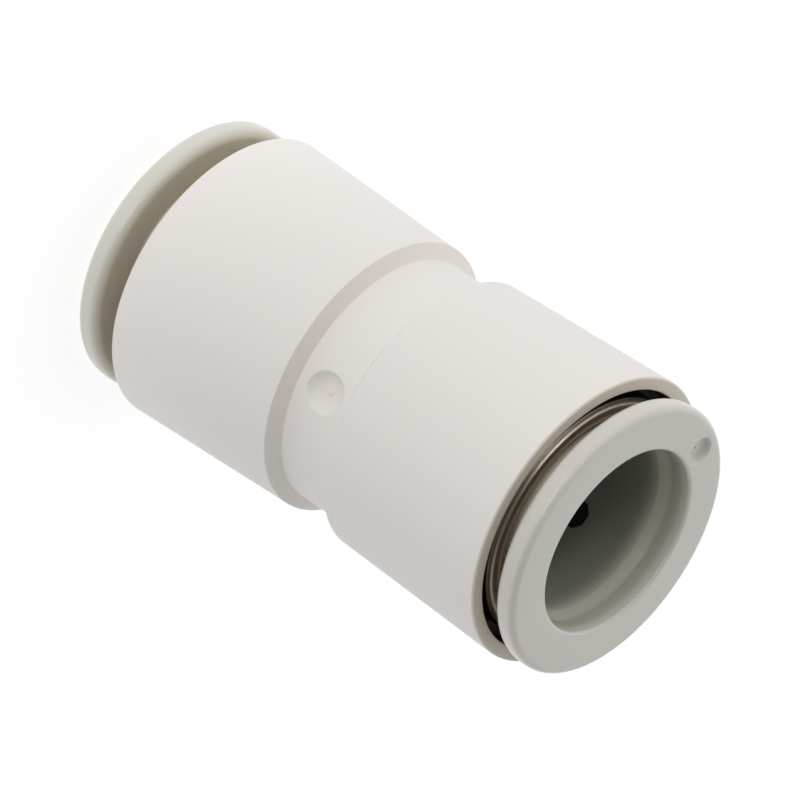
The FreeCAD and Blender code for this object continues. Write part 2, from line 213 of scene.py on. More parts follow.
def sink_recess(obj, mouth, inwards, depth_at, blend, stop):
    """Press a round recess into a surface: depth_at gives its depth at a distance from its line.
    The rim is softened over blend, and points further than stop from the mouth's level stay."""
    places = vertex_places(obj)
    offset = places - np.array(mouth)
    along = offset @ np.array(inwards)
    aside = np.linalg.norm(offset - along[:, None] * np.array(inwards), axis=1)
    wanted = depth_at(aside)
    gap = np.clip(1 - np.abs(wanted - along) / blend, 0, None)
    sunk = np.maximum(wanted, along) + blend * gap ** 2 / 4
    near = (np.abs(along) < stop) & (wanted > along - blend)
    places[near] += ((sunk - along)[:, None] * np.array(inwards))[near]
    obj.data.vertices.foreach_set("co", places.ravel())
    obj.data.update()


def bowl_depth(rim, floor, depth, lift):
    """Depth of a bowl at a distance from its line: a flat floor, then an arc up past the rim."""
    drop = depth + lift
    radius = ((rim - floor) ** 2 + drop ** 2) / (2 * drop)

    def at(distance):
        out = np.clip(distance - floor, 0, rim - floor)
        rise = radius - np.sqrt(radius ** 2 - out ** 2)
        beyond = np.clip(distance - rim, 0, None)
        return depth - rise - beyond
    return at


def settle(obj, place):
    """Put a finished mesh in its place, in metres, with its faces outwards and its edges soft."""
    obj.data.transform(place)
    obj.data.transform(Matrix.Scale(MM, 4))
    mesh = bmesh.new()
    mesh.from_mesh(obj.data)
    bmesh.ops.remove_doubles(mesh, verts=mesh.verts, dist=MERGE_METRES)
    bmesh.ops.recalc_face_normals(mesh, faces=mesh.faces)
    mesh.to_mesh(obj.data)
    mesh.free()
    obj.data.shade_smooth()
    obj.data.set_sharp_from_angle(angle=SHARP_TURN)
    return obj


class Flow:
    """A number that varies over a surface. Sums, products and powers of it add Math nodes."""

    def __init__(self, finish, socket):
        self.finish = finish
        self.socket = socket

    def maths(self, operation, first, second):
        return self.finish.add("ShaderNodeMath", {"operation": operation}, {0: first, 1: second})

    def __add__(self, other):
        return self.maths("ADD", self, other)

    def __sub__(self, other):
        return self.maths("SUBTRACT", self, other)

    def __rsub__(self, other):
        return self.maths("SUBTRACT", other, self)

    def __mul__(self, other):
        return self.maths("MULTIPLY", self, other)

    def __pow__(self, other):
        return self.maths("POWER", self, other)

    def above(self, limit):
        return self.maths("GREATER_THAN", self, limit)

    def below(self, limit):
        return self.maths("LESS_THAN", self, limit)

    __radd__ = __add__
    __rmul__ = __mul__


class Finish:
    """One material: a Principled shader whose sockets take constants or flows."""

    def __init__(self, name):
        self.material = bpy.data.materials.new(name)
        self.material.use_nodes = True
        self.tree = self.material.node_tree
        self.shader = self.tree.nodes["Principled BSDF"]

    def add(self, kind, settings, values, output=0):
        """One node: its settings first, then the values or links of its sockets."""
        node = self.tree.nodes.new(kind)
        for label, setting in settings.items():
            if label == "stops":
                self.set_stops(node.color_ramp.elements, setting)
            else:
                setattr(node, label, setting)
        for label, value in values.items():
            if isinstance(value, Flow):
                self.tree.links.new(value.socket, node.inputs[label])
            else:
                node.inputs[label].default_value = value
        return None if output is None else Flow(self, node.outputs[output])

    def set_stops(self, elements, stops):
        """The stops of a ramp: places from 0 to 1, with their colours."""
        while len(elements) < len(stops):
            elements.new(1.0)
        for element, (position, colour) in zip(elements, stops):
            element.position = position
            element.color = colour

    def noise(self, size, detail=2.0, stretch=(1, 1, 1)):
        """Noise from 0 to 1 with features of about one size in millimetres, on the piece itself."""
        where = self.add("ShaderNodeTexCoord", {}, {}, "Object")
        scaled = self.add("ShaderNodeMapping", {}, {"Vector": where, "Scale": stretch})
        return self.add("ShaderNodeTexNoise", {}, {"Vector": scaled, "Scale": 1 / (size * MM),
                                                    "Detail": detail})

    def blend(self, share, first, second):
        """Colour between two colours."""
        return self.add("ShaderNodeMix", {"data_type": "RGBA"},
                        {0: share, 6: opaque(first), 7: opaque(second)}, 2)

    def specks(self, cell, size, share):
        """1 inside a few tiny round specks: one in each chosen cell of the given size."""
        where = self.add("ShaderNodeTexCoord", {}, {}, "Object")
        values = {"Vector": where, "Scale": 1 / (cell * MM)}
        distance = self.add("ShaderNodeTexVoronoi", {}, values, "Distance")
        draw = self.add("ShaderNodeTexVoronoi", {}, values, "Color")
        chance = self.add("ShaderNodeSeparateColor", {}, {"Color": draw})
        return distance.below(size / cell) * chance.below(share)

    def place(self):
        """Place of a point on its piece, in millimetres, and how far it is from the axis and up."""
        metres = self.add("ShaderNodeTexCoord", {}, {}, "Object")
        spot = self.add("ShaderNodeVectorMath", {"operation": "SCALE"},
                        {0: metres, "Scale": 1 / MM})
        level = self.add("ShaderNodeVectorMath", {"operation": "MULTIPLY"},
                         {0: spot, 1: (1.0, 1.0, 0.0)})
        out = self.add("ShaderNodeVectorMath", {"operation": "LENGTH"}, {0: level}, "Value")
        height = self.add("ShaderNodeSeparateXYZ", {}, {"Vector": spot}, "Z")
        return level, out, height

    def fade(self, value, start, end, first, last, law="SMOOTHSTEP"):
        """A value carried from first at start to last at end."""
        return self.add("ShaderNodeMapRange", {"interpolation_type": law}, {
            "Value": value, "From Min": start, "From Max": end, "To Min": first, "To Max": last})

    def depth_from_end(self, height, middle, half_length):
        """How far a height lies inside the nearer end of a piece."""
        away = self.add("ShaderNodeMath", {"operation": "ABSOLUTE"}, {0: height - middle})
        return half_length - away

    def bump(self, height, rise):
        """Surface relief: height from 0 to 1 stands for the given rise in millimetres."""
        return self.add("ShaderNodeBump", {}, {"Height": height, "Distance": rise * MM})

    def set(self, **sockets):
        """Set the shader's own sockets, named with _ for a space."""
        for label, value in sockets.items():
            socket = self.shader.inputs[label.replace("_", " ")]
            if isinstance(value, Flow):
                self.tree.links.new(value.socket, socket)
            else:
                socket.default_value = value


def opaque(colour):
    """A colour with full alpha, as colour sockets take it."""
    return colour if isinstance(colour, Flow) else (*colour, 1.0)


def body_finish():
    """Warm white moulding: soft cloudiness, rare dark specks and a fine matt grain. The rims and
    the ledges by the waist are a little darker, painted shade, and the gap round each guide is
    nearly black, painted shade."""
    finish = Finish("body_white")
    cloud = finish.noise(size=9.0, detail=3.0)
    tone_and_painted_shade = finish.blend(cloud, BODY_WHITE, BODY_SHADE)
    speck = finish.specks(cell=3.2, size=0.05, share=0.05)
    grain = finish.noise(size=0.16, detail=3.0)
    wave = finish.noise(size=1.8)
    out, height = finish.place()[1:]
    low, high = reach("body")[2:]
    depth = finish.depth_from_end(height, middle=(low + high) / 2, half_length=(high - low) / 2)
    # Painted shade: the rim under each button's flange is darker and warmer.
    rim = finish.fade(depth, start=0.08, end=0.22, first=1.0, last=0.0)
    # Painted shade: inside each mouth, in the gap round the guide, the body is nearly black.
    gap_shade_fade = finish.fade(depth, start=0.05, end=0.5, first=0.0, last=1.0)
    gap = gap_shade_fade * depth.below(GAP_END) * out.below(GAP_RADIUS)
    # Painted shade: the ledges where each barrel steps in to the waist are darker.
    ledge_painted_shade = finish.fade(depth, LEDGE_START, LEDGE_FULL, 0.0, 1.0) * out.above(LEDGE_RADIUS)
    tone_and_painted_shade = finish.blend(rim, finish.blend(ledge_painted_shade, tone_and_painted_shade, LEDGE_PAINTED_SHADE), RIM_PAINTED_SHADE)
    tone_and_painted_shade = finish.blend(gap, tone_and_painted_shade, GAP_PAINTED_SHADE)
    roughness, from_cloud, from_grain = 0.46, 0.08, 0.04
    grain_share, wave_share = 0.35, 0.65
    finish.set(Base_Color=finish.blend(speck, tone_and_painted_shade, SPECK_BROWN),
               Roughness=roughness + cloud * from_cloud + grain * from_grain,
               Normal=finish.bump(grain * grain_share + wave * wave_share, rise=0.004),
               Specular_IOR_Level=0.42)
    return finish.material


def make_body():
    """The turned form of the body, with the gate's bowl sunk into its waist."""
    inner, outer, low, high = reach("body")
    length = high - low
    tube, seal, guide, relief = 8.15, 10.6, 11.15, 12.1
    taper, step_in, run = 0.61, 1.23, 0.84
    waist_length, waist_step = 6.95, 0.075
    stop, seal_seat, chuck_seat, relief_end = 19.5, 15.9, 10.85, 2.4
    soft, eased, crisp = 0.15, 0.1, 0.08
    edge, mouth_edge, shoulder_edge = 0.2, 0.12, 0.01
    lead = 0.3
    shoulder = outer - taper
    waist = shoulder - step_in
    waist_start = (length - waist_length) / 2
    waist_end = waist_start + waist_length
    half = [(inner, stop, soft), (tube, stop, eased), (tube, seal_seat + lead, eased),
            (tube + lead, seal_seat, eased), (seal, seal_seat, soft), (seal, chuck_seat, crisp),
            (guide, chuck_seat, crisp), (guide, relief_end, crisp), (relief, relief_end, soft),
            (relief, 0, mouth_edge)]
    outside = [(outer, 0, edge), (shoulder, waist_start, shoulder_edge),
               (waist, waist_start + run, eased, waist_step), (waist, waist_end - run, eased),
               (shoulder, waist_end, shoulder_edge), (outer, length, edge)]
    upper = [(radius, length - depth, rounding) for radius, depth, rounding in reversed(half)]
    dimple_angle = math.radians(-73.6)
    obj = turned("body_moulding", half + outside + upper, body_finish(),
                 columns=328, crowding=0.78, crowded_angle=dimple_angle)
    outwards = Vector((math.cos(dimple_angle), math.sin(dimple_angle), 0))
    above_middle = 0.24
    mouth = outwards * waist + Vector((0, 0, length / 2 + above_middle))
    bowl = bowl_depth(rim=1.93, floor=0.5, depth=0.88, lift=0.08)
    stub_height, stub_flat, stub_slope = 0.2, 0.12, 0.16

    def bowl_with_stub(distance):
        share = np.clip((distance - stub_flat) / stub_slope, 0, 1)
        return bowl(distance) - stub_height * (1 - share ** 2 * (3 - 2 * share))

    sink_recess(obj, mouth, -outwards, bowl_with_stub, blend=0.06, stop=1.4)
    return settle(obj, Matrix.Translation((0, 0, low)))


body = make_body()
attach(body, "housing")
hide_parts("body")

# The release buttons
# A light grey moulding at each end: a flange to press, with its own gate recess, and a sleeve
# round the tube. Four slots split the sleeve into fingers, whose hooks hold it in the collet.

BUTTON_GREY = (0.615, 0.600, 0.545)
BUTTON_SHADE = (0.595, 0.585, 0.535)
NO_SHADE = (1.0, 1.0, 1.0)
# Painted shade and light of the bore: depths in millimetres, and what the moulded colour is multiplied
# by there.
BORE_PAINTED_SHADES = [(0.6, NO_SHADE), (1.2, (0.77, 0.75, 0.68)), (2.0, (0.77, 0.75, 0.68)),
               (2.4, (0.87, 0.85, 0.79)), (3.3, (0.87, 0.86, 0.81)), (3.8, (0.66, 0.66, 0.63)),
               (4.2, (0.53, 0.53, 0.51)), (4.8, (0.47, 0.48, 0.47))]
RAMP_DEPTH = 6.0
HALF_UNION = reach("upper_release_button")[3] / 2
BORE_LIMIT = 8.8
CROWN_START, CROWN_END, CROWN_RISE = 8.8, 12.5, 0.15
BACK_START, BACK_FULL = 1.6, 2.1
# Painted light: a warm cast on the back of the flange and the sleeve, for light thrown back from the
# body.
BACK_PAINTED_BOUNCE = (1.0, 0.95, 0.84)
SIDES = ("lower", "upper")


def end_place(side, height):
    """Depths run up from a height at the lower end, and down from it, turned over, at the upper."""
    lift = Matrix.Translation((0, 0, height))
    return lift if side == "lower" else lift @ Matrix.Rotation(math.pi, 4, "X")


def cutting_tree():
    """Cuts copies of one cutter, spaced evenly round the axis, out of a piece."""
    maker = TreeMaker("CutRoundAxis", [
        ("Cutter", "NodeSocketObject"), ("Count", "NodeSocketInt"),
        ("Material", "NodeSocketMaterial")])
    given = maker.given
    cutter = maker.add("GeometryNodeObjectInfo", {}, {"Object": given["Cutter"]}, "Geometry")
    spots = maker.add("GeometryNodeMeshLine", {}, {"Count": given["Count"], "Offset": (0, 0, 0)})
    index = maker.add("GeometryNodeInputIndex", {}, {})
    turn = maker.maths("MULTIPLY", maker.maths("DIVIDE", index, given["Count"]), math.tau)
    turned_to = maker.add("ShaderNodeCombineXYZ", {}, {"Z": turn})
    copies = maker.add("GeometryNodeInstanceOnPoints", {},
                       {"Points": spots, "Instance": cutter, "Rotation": turned_to})
    real = maker.add("GeometryNodeRealizeInstances", {}, {"Geometry": copies})
    cut = maker.add("GeometryNodeMeshBoolean", {"operation": "DIFFERENCE"},
                    {"Mesh 1": given["Geometry"], "Mesh 2": real})
    return maker.finish(cut)


CUTTING = cutting_tree()


def cut_round(obj, outline, start, end, count):
    """Cut a prism out of a piece, with its outline (across, depth) and its reach along X."""
    rows = [[(x, across, depth) for across, depth in outline] for x in (start, end)]
    corners = len(outline)
    sides = [(k, (k + 1) % corners, (k + 1) % corners + corners, k + corners)
             for k in range(corners)]
    ends = [tuple(reversed(range(corners))), tuple(range(corners, 2 * corners))]
    cutter = new_object("cutter", rows[0] + rows[1], [], sides + ends)
    material = obj.data.materials[0]
    run_tree(obj, CUTTING, {"Cutter": cutter, "Count": count, "Material": material})
    bpy.data.objects.remove(cutter)


def painted_bore_shade_and_bounce(finish, out, depth):
    """Painted shade and light in the bore by depth: darker in the lead-in, a lighter band below it
    and darker again deeper in; and a warm cast on the back of the flange, painted light thrown
    back from the body."""
    ramp = finish.add("ShaderNodeValToRGB", {"stops": [
        (level / RAMP_DEPTH, opaque(shade)) for level, shade in BORE_PAINTED_SHADES]},
        {"Fac": depth * (1 / RAMP_DEPTH)})
    # Painted light: the warm cast of light thrown back from the body.
    behind_painted_bounce = finish.fade(depth, BACK_START, BACK_FULL, 0.0, 1.0)
    return finish.blend(out.below(BORE_LIMIT), finish.blend(behind_painted_bounce, NO_SHADE, BACK_PAINTED_BOUNCE), ramp)


def raise_burr(obj, circle, angle, radius, height):
    """Leave a tiny burr in the gate recess of the outer face, where the gate broke off unevenly."""
    face_depth = 1.0
    places = vertex_places(obj)
    spot = circle * np.array((math.cos(angle), math.sin(angle)))
    away = np.linalg.norm(places[:, :2] - spot, axis=1) / radius
    near = (away < 1) & (places[:, 2] < face_depth)
    places[near, 2] -= (height * (1 - away ** 2) ** 2)[near]
    obj.data.vertices.foreach_set("co", places.ravel())
    obj.data.update()


def button_finish():
    """Light grey plastic with a slight sheen, a faint unevenness from the mould, and a face that
    is slightly crowned."""
    finish = Finish("button_grey")
    cloud = finish.noise(size=6.0, detail=3.0)
    grain = finish.noise(size=0.14)
    wave = finish.noise(size=1.2)
    out, height = finish.place()[1:]
    depth = finish.depth_from_end(height, middle=HALF_UNION, half_length=HALF_UNION)
    moulded = finish.blend(cloud, BUTTON_GREY, BUTTON_SHADE)
    # The moulded colour times the painted shade and light of the bore and of the back of the flange.
    moulded_with_painted_light = finish.add("ShaderNodeMix", {"data_type": "RGBA", "blend_type": "MULTIPLY"},
                        {0: 1.0, 6: moulded, 7: painted_bore_shade_and_bounce(finish, out, depth)}, 2)
    crown = 1.0 - finish.fade(out, CROWN_START, CROWN_END, 0.0, 1.0, law="LINEAR") ** 2.0
    grain_share, wave_share = 0.007, 0.02
    unevenness = grain * grain_share + wave * wave_share
    roughness, from_cloud, from_grain = 0.36, 0.08, 0.05
    finish.set(Base_Color=moulded_with_painted_light,
               Roughness=roughness + cloud * from_cloud + grain * from_grain,
               Normal=finish.bump(crown + unevenness, CROWN_RISE),
               Specular_IOR_Level=0.5,
               Coat_Weight=0.5, Coat_Roughness=0.1)
    return finish.material


def make_button(side, material):
    """One button: the turned form, the gate's bowl in its face, then the slots of the sleeve."""
    bore, flange, low, high = reach(f"{side}_release_button")
    sleeve, hook, lead, nose_radius = bore + 0.95, bore + 1.6, bore + 0.35, bore + 0.5
    thickness, hook_top, hook_end, nose = 2.15, 9.4, 10.0, high - low
    lead_depth, lead_taper, hook_taper, nose_taper = 2.0, 1.1, 1.0, 1.0
    lip_round, face_round, back_round, lead_round = 0.3, 0.6, 0.9, 0.5
    neck_round, hook_root, hook_edge, eased, crisp = 0.2, 0.05, 0.06, 0.1, 0.08
    face_step = 0.06
    gate_angle = math.radians(-163.7)
    obj = turned(f"{side}_button_moulding", [
        (lead, 0, lip_round, face_step), (flange, 0, face_round), (flange, thickness, back_round),
        (sleeve, thickness, neck_round), (sleeve, hook_top, hook_root), (hook, hook_top, hook_edge),
        (hook, hook_end, crisp), (sleeve, hook_end + hook_taper, eased),
        (sleeve, nose - nose_taper, eased), (nose_radius, nose, crisp), (bore, nose, crisp),
        (bore, lead_depth + lead_taper, lead_round), (lead, lead_depth, lead_round)],
        material, columns=380, crowding=0.72, crowded_angle=gate_angle)
    gate_circle = 10.3
    mouth = (gate_circle * math.cos(gate_angle), gate_circle * math.sin(gate_angle), 0)
    gate = bowl_depth(rim=1.3, floor=0.6, depth=0.5, lift=0.1)
    sink_recess(obj, mouth, (0, 0, 1), gate, blend=0.14, stop=0.9)
    burr_circle, burr_angle = gate_circle - 0.18, gate_angle - math.radians(4.1)
    raise_burr(obj, burr_circle, burr_angle, radius=0.26, height=0.45)
    width, slot_depth, flat, chamfer, beyond = 2.4, 8.25, 1.0, 0.6, 1.0
    slot = [(-width / 2, nose + beyond), (-width / 2, slot_depth + chamfer),
            (-flat / 2, slot_depth), (flat / 2, slot_depth),
            (width / 2, slot_depth + chamfer), (width / 2, nose + beyond)]
    cut_round(obj, slot, start=bore - beyond, end=hook + beyond, count=4)
    height = low if side == "lower" else high
    return settle(obj, end_place(side, height))


button_material = button_finish()
for side in SIDES:
    button = make_button(side, button_material)
    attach(button, f"{side}_button")
    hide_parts(f"{side}_release_button")

# The guide rings
# A thin sleeve drawn from stainless steel and pressed into each mouth. Its edge is rolled
# inwards to a round lip, which shows as a dull metal ring between the button and the body.

GUIDE_METAL = (0.45, 0.37, 0.30)
GUIDE_STAIN = (0.27, 0.215, 0.17)
# Painted highlight: a lighter metal colour on the outer slope of the lip's step.
GUIDE_PAINTED_HIGHLIGHT = (0.68, 0.59, 0.49)
RIDGE_START, RIDGE_END = 10.72, 11.0
RIDGE_RISE = 0.156
HIGHLIGHT_REACH = 0.1
GAP_SHADE_WIDTH = 0.12
LINE_CROWDING = 9.0
LINE_RISE = 0.010
GRAIN_RISE = 0.006


def guide_finish():
    """Drawn steel: fine lines round the axis, brown tarnish and the step that the roll left, with a
    painted highlight on the step and painted shade in the gap outside it.
    """
    finish = Finish("guide_steel")
    level, out, height = finish.place()
    tarnish = finish.noise(size=1.6, detail=4.0)
    round_axis = finish.add("ShaderNodeVectorMath", {"operation": "NORMALIZE"}, {0: level})
    slow = finish.add("ShaderNodeVectorMath", {"operation": "SCALE"},
                      {0: round_axis, "Scale": LINE_CROWDING})
    across = finish.add("ShaderNodeCombineXYZ", {}, {"Z": (out + height) * LINE_CROWDING})
    where = finish.add("ShaderNodeVectorMath", {"operation": "ADD"}, {0: slow, 1: across})
    lines = finish.add("ShaderNodeTexNoise", {}, {"Vector": where, "Scale": 1.0, "Detail": 3.0})
    grain = finish.noise(size=0.11)
    tarnish_share, line_share, grain_share = 0.4, 0.3, 0.3
    stain = tarnish * tarnish_share + lines * line_share + grain * grain_share
    dull = finish.blend(stain, GUIDE_METAL, GUIDE_STAIN)
    # Painted shade: outside the step the lip is nearly black, in the gap under the body's rim.
    gap_painted_shade = finish.fade(out, RIDGE_END, RIDGE_END + GAP_SHADE_WIDTH, 0.0, 1.0)
    ridge = finish.fade(out, RIDGE_START, RIDGE_END, RIDGE_RISE, 0.0, law="LINEAR")
    # Painted highlight: the metal is lighter on the outer slope of the lip's step.
    painted_highlight = finish.fade(out, RIDGE_START - HIGHLIGHT_REACH, RIDGE_START + HIGHLIGHT_REACH, 0.0, 1.0)
    with_painted_highlight = finish.blend(painted_highlight, dull, GUIDE_PAINTED_HIGHLIGHT)
    roughness, from_lines, from_grain = 0.22, 0.10, 0.16
    finish.set(Base_Color=finish.blend(gap_painted_shade, with_painted_highlight, GAP_PAINTED_SHADE),
               Metallic=1.0,
               Roughness=roughness + lines * from_lines + grain * from_grain,
               Normal=finish.bump(lines * LINE_RISE + grain * GRAIN_RISE + ridge, rise=1.0))
    return finish.material


def make_guide(side, material, height):
    """A thin sleeve that rolls over at the mouth and ends in a short leg inside."""
    inner, outer = reach(f"{side}_guide_ring")[:2]
    wall, recess, length, leg, hair = 0.4, 0.15, 10.25, 0.3, 0.001
    roll = (outer - inner) / 2
    outside_roll, inside_roll = roll - hair, roll - wall - hair
    leg_end = recess + roll + leg
    bottom = recess + length
    crisp, eased = 0.05, 0.1
    obj = turned(f"{side}_guide_sleeve", [
        (outer, bottom, crisp), (outer, recess, outside_roll), (inner, recess, outside_roll),
        (inner, leg_end, eased), (inner + wall, leg_end, eased),
        (inner + wall, recess + wall, inside_roll), (outer - wall, recess + wall, inside_roll),
        (outer - wall, bottom, crisp)], material, columns=300)
    return settle(obj, end_place(side, height))


guide_material = guide_finish()
mouths = dict(zip(SIDES, reach("body")[2:]))
for side in SIDES:
    guide = make_guide(side, guide_material, mouths[side])
    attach(guide, "housing")
    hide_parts(f"{side}_guide_ring")

# The collets
# A plastic ring inside each guide, coloured black as painted shade for the dark seen through the
# button's slots. Its neck carries the button's sleeve and stops the hooks, and the wider chamber
# below leaves them room to travel.

# Painted shade: the collets are black so that the button's slots look dark.
COLLET_PAINTED_SHADE_BLACK = (0.030, 0.030, 0.031)
COLLET_PAINTED_SHADE_GREY = (0.040, 0.040, 0.040)


def collet_finish():
    """Black plastic with a fine matt grain; the black is painted shade for the dark in the slots."""
    finish = Finish("collet_painted_shade_black")
    cloud = finish.noise(size=4.0)
    grain = finish.noise(size=0.15)
    roughness, from_grain = 0.4, 0.1
    finish.set(Base_Color=finish.blend(cloud, COLLET_PAINTED_SHADE_BLACK, COLLET_PAINTED_SHADE_GREY),
               Roughness=roughness + grain * from_grain,
               Normal=finish.bump(grain, rise=0.003))
    return finish.material


def make_collet(side, material, height):
    """A ring with a narrow neck, a chamfer at its top and a wider chamber below."""
    neck, outer, low, high = reach(f"{side}_collet")
    chamber, neck_length, chamfer = neck + 0.65, 2.9, 0.3
    top = 1.5
    end = top + high - low
    step = top + neck_length
    edge, chamfer_edge = 0.08, 0.05
    obj = turned(f"{side}_collet_ring", [
        (neck, top, edge), (outer - chamfer, top, chamfer_edge),
        (outer, top + chamfer, chamfer_edge), (outer, end, edge), (chamber, end, edge),
        (chamber, step, edge), (neck, step, edge)], material, columns=240)
    return settle(obj, end_place(side, height))


collet_material = collet_finish()
for side in SIDES:
    collet = make_collet(side, collet_material, mouths[side])
    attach(collet, f"{side}_collet")
    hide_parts(f"{side}_collet")

# The chucks
# A ring stamped from stainless spring steel. Twelve claws slope inwards and down the tube to
# grip it, and the flat rim is clamped between the guide's end and a step in the body.

SPRING_STEEL = (0.56, 0.55, 0.53)
SPRING_SHADE = (0.47, 0.46, 0.44)


def chuck_finish():
    """Spring steel with the fine scratches of the strip that it is stamped from."""
    finish = Finish("spring_steel")
    cloud = finish.noise(size=1.5, detail=3.0)
    scratches = finish.noise(size=0.3, stretch=(1.0, 6.0, 1.0))
    roughness, from_scratches = 0.24, 0.16
    finish.set(Base_Color=finish.blend(cloud, SPRING_STEEL, SPRING_SHADE),
               Metallic=1.0,
               Roughness=roughness + scratches * from_scratches,
               Normal=finish.bump(scratches, rise=0.003))
    return finish.material


def make_chuck(side, material, height):
    """A dished ring, cut into claws by evenly spaced gaps that stop short of its flat rim."""
    tip, rim = reach(f"{side}_chuck")[:2]
    root, top, thickness, drop = rim - 1.1, 10.4, 0.45, 1.4
    claws, gap, gap_inset, beyond = 12, 0.8, 0.2, 1.0
    tip_edge, rim_edge, bend = 0.03, 0.06, 0.25
    obj = turned(f"{side}_chuck_claws", [
        (tip, top + drop, tip_edge), (tip, top + drop + thickness, tip_edge),
        (root, top + thickness, bend), (rim, top + thickness, rim_edge), (rim, top, rim_edge),
        (root, top, bend)], material, columns=288)
    window = [(-gap / 2, top - beyond), (gap / 2, top - beyond), (gap / 2, top + drop + beyond),
              (-gap / 2, top + drop + beyond)]
    cut_round(obj, window, start=tip - beyond, end=root - gap_inset, count=claws)
    return settle(obj, end_place(side, height))


chuck_material = chuck_finish()
for side in SIDES:
    chuck = make_chuck(side, chuck_material, mouths[side])
    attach(chuck, "housing")
    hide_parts(f"{side}_chuck")

# The seals
# A black nitrile rubber ring in each bore, with two rounded lips against the tube and a skirt
# that reaches up to the chuck.

RUBBER_BLACK = (0.020, 0.020, 0.021)
RUBBER_BLOOM = (0.045, 0.045, 0.046)


def seal_finish():
    """Smooth black rubber with a faint grey bloom."""
    finish = Finish("seal_rubber")
    bloom = finish.noise(size=1.0, detail=4.0)
    grain = finish.noise(size=0.1)
    roughness, from_bloom = 0.52, 0.16
    finish.set(Base_Color=finish.blend(bloom, RUBBER_BLACK, RUBBER_BLOOM),
               Roughness=roughness + bloom * from_bloom,
               Normal=finish.bump(grain, rise=0.004))
    return finish.material


def make_seal(side, material, height):
    """A ring with two lips and the groove between them, and a thin skirt above."""
    lip, outer, low, high = reach(f"{side}_seal")
    top = 10.9
    seat = top + high - low
    skirt, skirt_length, valley = outer - 0.55, 2.2, lip + 0.65
    step = (seat - top - skirt_length) / 4
    head = top + skirt_length
    edge, foot, lip_round, groove, skirt_root = 0.06, 0.12, 0.1, 0.15, 0.2
    obj = turned(f"{side}_seal_ring", [
        (outer, top, edge), (outer, seat, edge), (valley, seat, foot), (lip, seat - step, lip_round),
        (valley, seat - 2 * step, groove), (lip, seat - 3 * step, lip_round),
        (valley, head, foot), (skirt, head, skirt_root), (skirt, top, edge)], material, columns=240)
    return settle(obj, end_place(side, height))


seal_material = seal_finish()
for side in SIDES:
    seal = make_seal(side, seal_material, mouths[side])
    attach(seal, "housing")
    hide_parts(f"{side}_seal")

# The floor and the light
# A plain white floor that fades into a white surround, which gives less light from the front and
# upper right. A broad soft lamp stands low in front, a long one to the left and one higher up.

FLOOR_SIZE = 3.0
FLOOR_LEVEL = -0.00005
FLOOR_WHITE = 0.45
FLOOR_SHOWN = 0.28
SHOWN_GLOW = 0.82
TABLE_GLOW = 0.37
FOOT_GLOW = 0.40
FOOT_START, FOOT_END = 0.016, 0.045
COVERED_RADIUS = 0.012
FILL_LEVEL = 1.72
SHOWN_LEVEL = 1.0
DARK_SIDE = Vector((0.321, -0.449, 0.834))
DARK_START, DARK_END = -0.086, 1.168
KEY_WATTS = 0.6
LAMP_COLOUR = (1.0, 0.975, 0.95)
KEY_WIDTH = 0.30
KEY_HEIGHT = 0.17
KEY_AZIMUTH = math.radians(-90)
KEY_HEIGHT_ANGLE = math.radians(8)
LONG_WIDTH = 0.40
STRIP_WATTS = 0.28
STRIP_HEIGHT = 0.06
STRIP_AZIMUTH = math.radians(-126)
STRIP_HEIGHT_ANGLE = math.radians(28)
TOP_WATTS = 0.08
TOP_HEIGHT = 0.04
TOP_AZIMUTH = math.radians(-100)
TOP_HEIGHT_ANGLE = math.radians(60)
LAMP_DISTANCE = 0.6


class Setting(Finish):
    """A tree of the surroundings, written the same way as a finish."""

    def __init__(self, owner):
        self.tree = owner.node_tree
        self.tree.nodes.clear()

    def shown(self):
        """1 for rays that show a surface, straight or in a reflection, and 0 for rays of light."""
        path = {name: self.add("ShaderNodeLightPath", {}, {}, name)
                for name in ("Is Camera Ray", "Is Glossy Ray", "Is Transmission Ray")}
        either = self.add("ShaderNodeMath", {"operation": "MAXIMUM"},
                          {0: path["Is Camera Ray"], 1: path["Is Glossy Ray"]})
        return self.add("ShaderNodeMath", {"operation": "MAXIMUM"},
                        {0: either, 1: path["Is Transmission Ray"]})

    def lit(self, white, glow):
        """A matt white surface that also glows."""
        matt = self.add("ShaderNodeBsdfDiffuse", {}, {"Color": opaque((white, white, white))})
        light = self.add("ShaderNodeEmission", {}, {"Strength": glow})
        return self.add("ShaderNodeAddShader", {}, {0: matt, 1: light})


def make_floor():
    """The floor lies a hair under the union, and glows more around the union's foot."""
    half = FLOOR_SIZE / 2
    corners = [(side * half, end * half, FLOOR_LEVEL)
               for side, end in ((-1, -1), (1, -1), (1, 1), (-1, 1))]
    floor = new_object("studio_floor", corners, [], [(0, 1, 2, 3)])
    material = bpy.data.materials.new("floor_white")
    material.use_nodes = True
    setting = Setting(material)
    place = setting.add("ShaderNodeTexCoord", {}, {}, "Object")
    away = setting.add("ShaderNodeVectorMath", {"operation": "LENGTH"}, {0: place}, "Value")
    foot = setting.fade(away, FOOT_START, FOOT_END, TABLE_GLOW + FOOT_GLOW, TABLE_GLOW)
    table = setting.lit(FLOOR_WHITE, foot * away.above(COVERED_RADIUS))
    shown = setting.lit(FLOOR_SHOWN, SHOWN_GLOW)
    both = setting.add("ShaderNodeMixShader", {}, {0: setting.shown(), 1: table, 2: shown})
    setting.add("ShaderNodeOutputMaterial", {}, {"Surface": both}, None)
    floor.data.materials.append(material)


